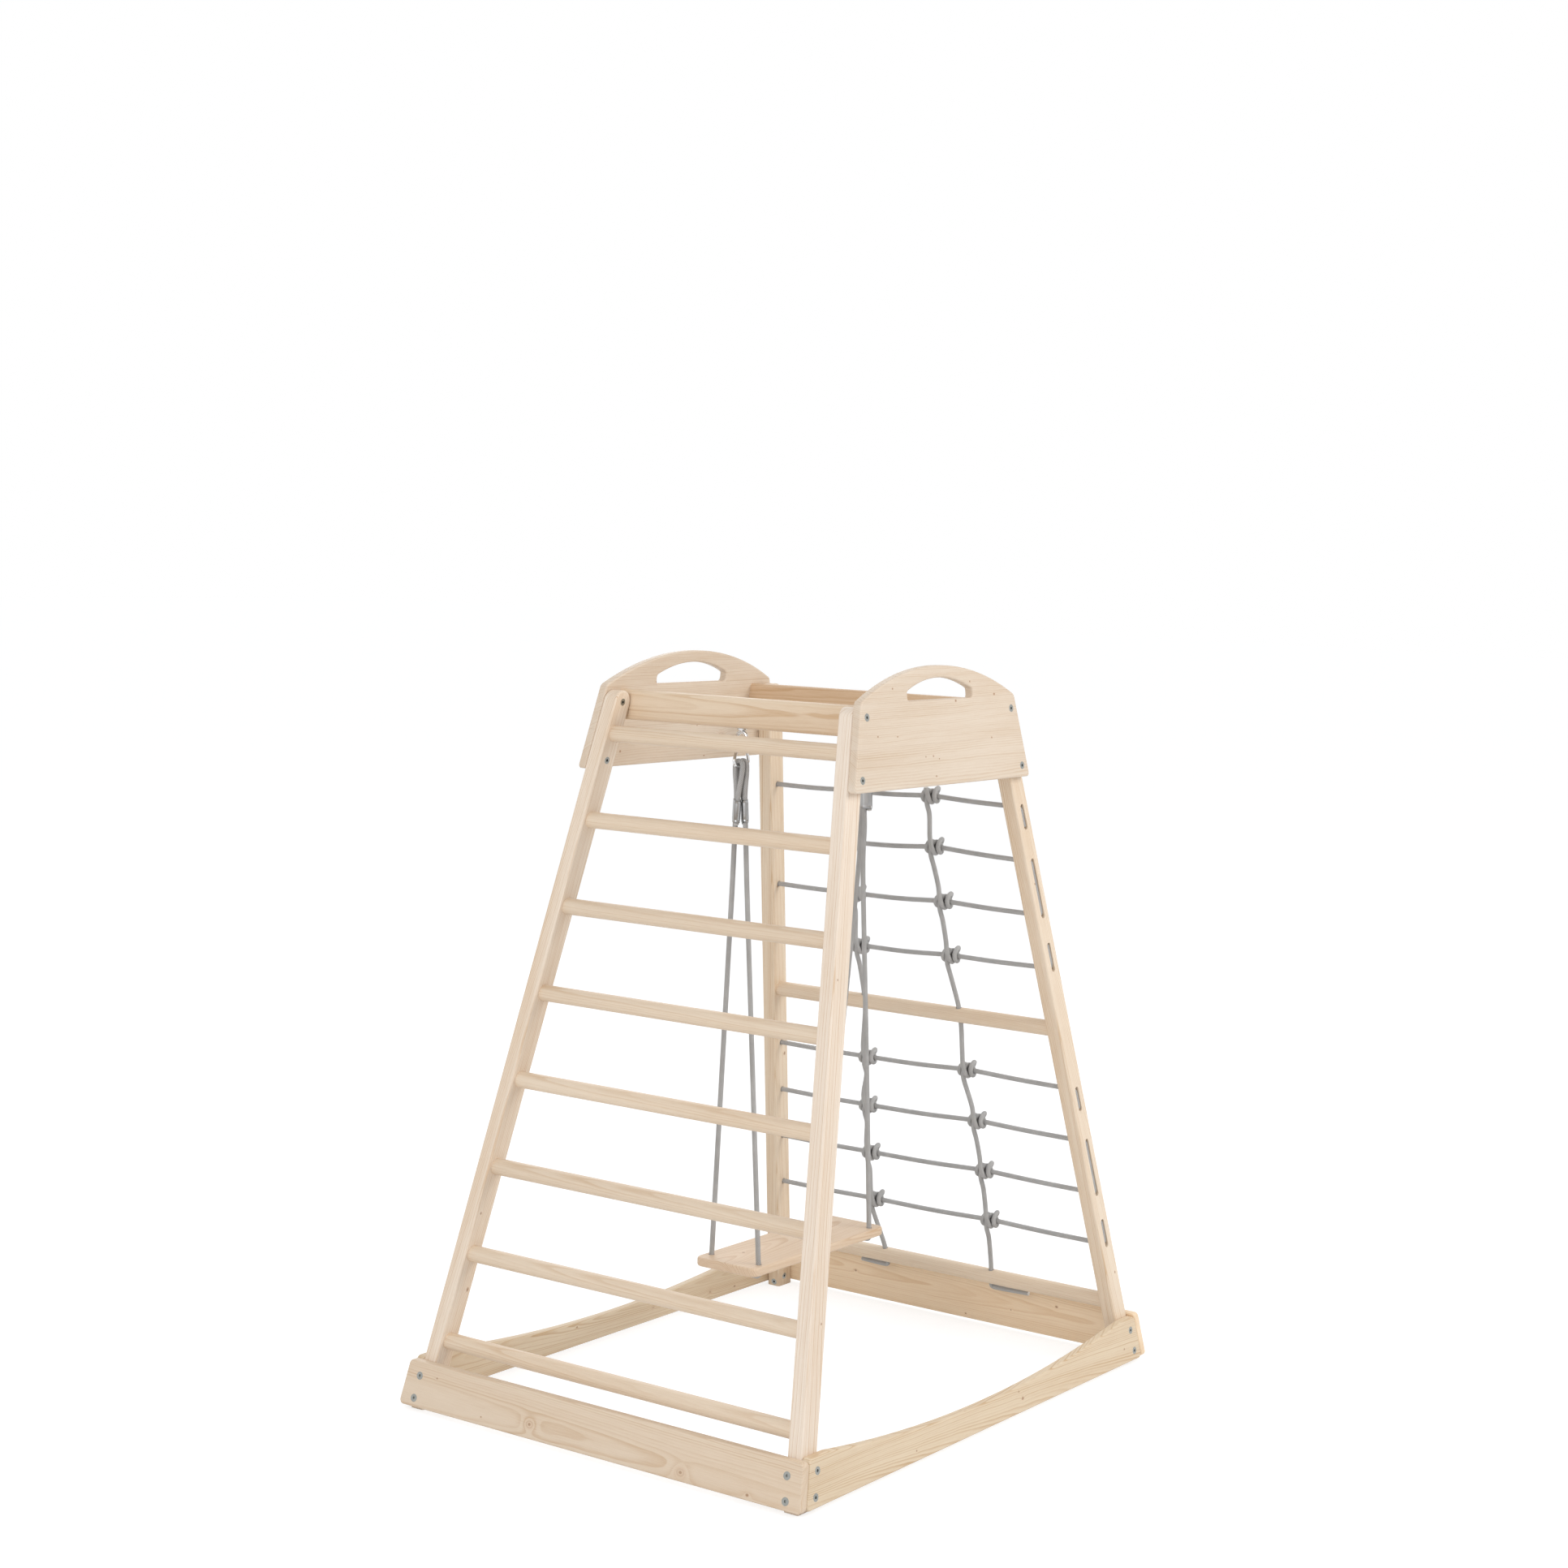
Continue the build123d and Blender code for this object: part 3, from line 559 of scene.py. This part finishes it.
# Rungs: turned bars of 32 mm, eight in the ladder and two in the net, where each has two rope holes. Their
# ends are let into blind sockets in the posts.
RUNG_PALE = (0.79, 0.655, 0.505)
for i in range(8):
    z = 127 + i * 166.7
    pale = tuple(c * (1 - 0.02 * (i % 3)) for c in RUNG_PALE)
    knots = [(-130 + 61 * i, 12, 1.6)] if i in (2, 5) else ()
    dress("ladder_rung_" + str(i + 1),
          pine("rung_" + str(i + 1), (SIDE_LEAN * z - POST_SIDE, 0, z), (0.004 * (i - 4), 1, 0),
               (1, 0, 0.2 * i), (26 - 7 * i, 24 + 3 * i), pale, 2.6, 0.01, 5.0, knots, (),
               11.0 + 4.3 * i, 0.6))
for name, z in (("middle", 707), ("bottom", 128)):
    dress("net_rung_" + name,
          pine("rung_" + name, (POST_SIDE - SIDE_LEAN * z, 0, z), (0, 1, 0.005), (1, 0, 0.4),
               (12, -30), RUNG_PALE, 2.7, 0.012, 5.0, (), (), 61.0 + z * 0.1, 0.6))


# Head boards: 18 mm panels glued up from three laths, with an arched top and a hand hole, bolted to the
# posts' tops. Small knots show on the front one; the rear one has a large knot on its outer face.
HEAD_PALE = (0.74, 0.63, 0.51)
head_knots = {-1: [(-163, 97, 2.0), (52, 67, 2.8), (107, 102, 2.0), (193, 75, 2.8), (-222, 11, 2.0),
                   (-157, 8, 1.8), (173, -9, 2.0), (-34, -72, 2.2), (-66, -34, 1.6), (-40, -34, 2.0),
                   (-20, -40, 1.6), (50, 86, 1.8)],
              1: [(120, -42, 8.0), (35, -16, 2.0), (-115, 78, 2.6), (70, -81, 2.0), (-205, -58, 2.6)]}
for end, name in ((-1, "front"), (1, "rear")):
    middle = (0, end * (465 - END_LEAN * 1314), 1314)
    dress("head_board_" + name,
          pine("head_" + name, middle, (1, 0, 0.006), (0, -end * END_LEAN, 1), (-150, 110 * end), HEAD_PALE,
               3.2, 0.0, 11.0, head_knots[end], (-10, 72), 23.0 + end * 4, 0.62))


# Curved base boards: 18 mm boards with a long shallow hollow sawn in the top edge, one at each open end.
# Two countersunk bolts at each end hold them to the posts' outer faces.
BOARD_PALE = (0.765, 0.635, 0.465)
curved_knots = {-1: [(125, -12, 3.6), (112, 4, 2.0), (-80, 14, 1.6), (532, -4, 2.2), (-253, -22, 1.8)],
                1: [(337, -14, 5.5), (428, -20, 3.0), (-297, -10, 2.6), (135, -8, 4.5), (-120, 4, 2.0)]}
for end, name in ((-1, "front"), (1, "rear")):
    dress("curved_board_" + name,
          pine("curved_" + name, (0, end * 460, 47), (1, 0, -0.008), (0, -end * END_LEAN, 1),
               (-14 + 30 * end, 34 * end), BOARD_PALE, 2.8, 0.035, 9.0, curved_knots[end], (),
               37.0 + end * 3, 1.15))


# Straight base boards: 18 mm boards over the posts' side faces, long enough to cover the curved boards'
# ends. They are bolted on in the same way, at the foot of the ladder and of the net.
straight_knots = {-1: [(148, -20, 7.5), (-208, -26, 8.0), (-357, -31, 3.0), (388, 14, 1.8), (265, -32, 1.5)],
                  1: [(-275, 36, 3.0), (-160, 4, 1.6), (-43, -30, 2.0), (240, 14, 2.8)]}
# Painted light: the net board's pale colour is much lighter than the ladder board's, to brighten its inner
# face, which lies in shade.
for side, name, pale in ((-1, "ladder", (0.755, 0.62, 0.475)), (1, "net", (0.93, 0.755, 0.55))):
    dress("base_board_" + name,
          pine("base_" + name, (side * 610, 0, 52), (0, 1, 0.012), (-side * SIDE_LEAN, 0, 1),
               (20 * side, -62 * side), pale, 2.6, -0.012 if side > 0 else 0.008, 7.0,
               straight_knots[side], (), 47.0 + side * 5, 0.75))


# Top rails: planed bars of 28 by 58 mm between the head boards, against the posts' round tops. An eye hook
# screwed into the underside of each one carries one side of the swing.
# Painted shade: the net rail's pale colour is a darker, more orange copy of the ladder rail's.
for side, name, pale in ((-1, "ladder", (0.785, 0.635, 0.47)), (1, "net", (0.67, 0.49, 0.325))):
    dress("top_rail_" + name,
          pine("rail_" + name, (side * HOOK_X, 0, 1349), (0.006, 1, 0.003), (0, 0, 1), (15 + 8 * side, 42),
               pale, 2.4, 0.014, 6.0, [(-150, 12, 1.6)] if side > 0 else (), (), 57.0 + side * 7, 0.8))


# Swing seat: an 18 mm board with rounded corners and edges. A hole is bored near each corner, and the
# swing ropes run through the holes and under the board.
dress("swing_seat",
      pine("seat", (0, 0, 279), (1, 0.01, 0), (0, 1, 0), (18, -46), (0.765, 0.605, 0.45), 3.0, 0.04, 9.0,
           [(-137, 20, 3.4)], (), 71.0, 0.85))


# Fixings: zinc-plated countersunk bolts that are drawn up by sleeve nuts on the posts' inner faces, and the
# swing's bright eye hooks with their links of bent wire.
zinc = metal("zinc_plate", (0.37, 0.38, 0.36), 0.32, 260.0)
bright = metal("bright_steel", (0.74, 0.74, 0.74), 0.14, 120.0)
for node in ("bolts", "sleeve_nuts"):
    dress(node, zinc)
for node in ("eye_hook_ladder", "eye_hook_net", "swing_link_ladder", "swing_link_net"):
    dress(node, bright)


# The studio: a white floor that keeps the tower's soft shadow, and a white surround. Three large soft lamps
# light the tower from the front right, from behind and from the ladder side.
def white_for_camera(tree):
    """1 for rays that reach the eye straight, by a mirror or through glass."""
    path = tree.nodes.new("ShaderNodeLightPath")
    seen = Value(tree, path.outputs["Is Camera Ray"]).op("MAXIMUM", Value(tree, path.outputs["Is Glossy Ray"]))
    return seen.op("MAXIMUM", Value(tree, path.outputs["Is Transmission Ray"]))


sky = Finish("studio", "worlds")
scene.world = sky.data
seen = white_for_camera(sky)
room = sky.add("Background", {}, {"Color": (0.97, 0.98, 1.0, 1), "Strength": 0.66})
clear = sky.add("Background", {}, {"Color": (1, 1, 1, 1), "Strength": 1.0})
sky.add("OutputWorld", {}, {0: sky.add("MixShader", {}, {0: seen, 1: room, 2: clear})})

paper = Finish("white_floor")
seen = white_for_camera(paper)
matt = paper.add("BsdfDiffuse", {}, {"Color": (0.86, 0.86, 0.86, 1)})
half = paper.add("BsdfDiffuse", {}, {"Color": (0.42, 0.42, 0.42, 1)})
glow = paper.add("Emission", {}, {"Color": (1, 1, 1, 1), "Strength": 0.73})
lit = paper.add("AddShader", {}, {0: half, 1: glow})
paper.add("OutputMaterial", {}, {0: paper.add("MixShader", {}, {0: seen, 1: matt, 2: lit})})
corners = np.array([(-40, -40, 0), (40, -40, 0), (40, 40, 0), (-40, 40, 0)], float)
floor = add_piece("floor", corners, [(0, 1, 2, 3)])
floor.data.materials.append(paper.data)


def soft_lamp(name, place, aim, size, power, colour):
    """Square area lamp at place, turned so that its -Z axis points at aim."""
    data = bpy.data.lights.new(name, "AREA")
    data.size, data.energy, data.color = size, power, colour
    lamp = bpy.data.objects.new(name, data)
    z = np.array(place, float) - np.array(aim, float)
    z /= np.linalg.norm(z)
    x = np.cross((0, 0, 1), z)
    x /= np.linalg.norm(x)
    pose = np.eye(4)
    pose[:3, 0], pose[:3, 1], pose[:3, 2], pose[:3, 3] = x, np.cross(z, x), z, place
    lamp.matrix_world = Matrix(pose.tolist())
    scene.collection.objects.link(lamp)


soft_lamp("key", (1.6, -4.2, 3.6), (0, 0, 0.7), 2.6, 110.0, (1.0, 0.985, 0.965))
soft_lamp("back", (3.4, 4.0, 3.4), (0, 0, 0.7), 2.6, 42.0, (0.98, 0.99, 1.0))
soft_lamp("fill", (-4.6, -0.6, 2.6), (0, 0, 0.7), 2.6, 70.0, (0.97, 0.98, 1.0))
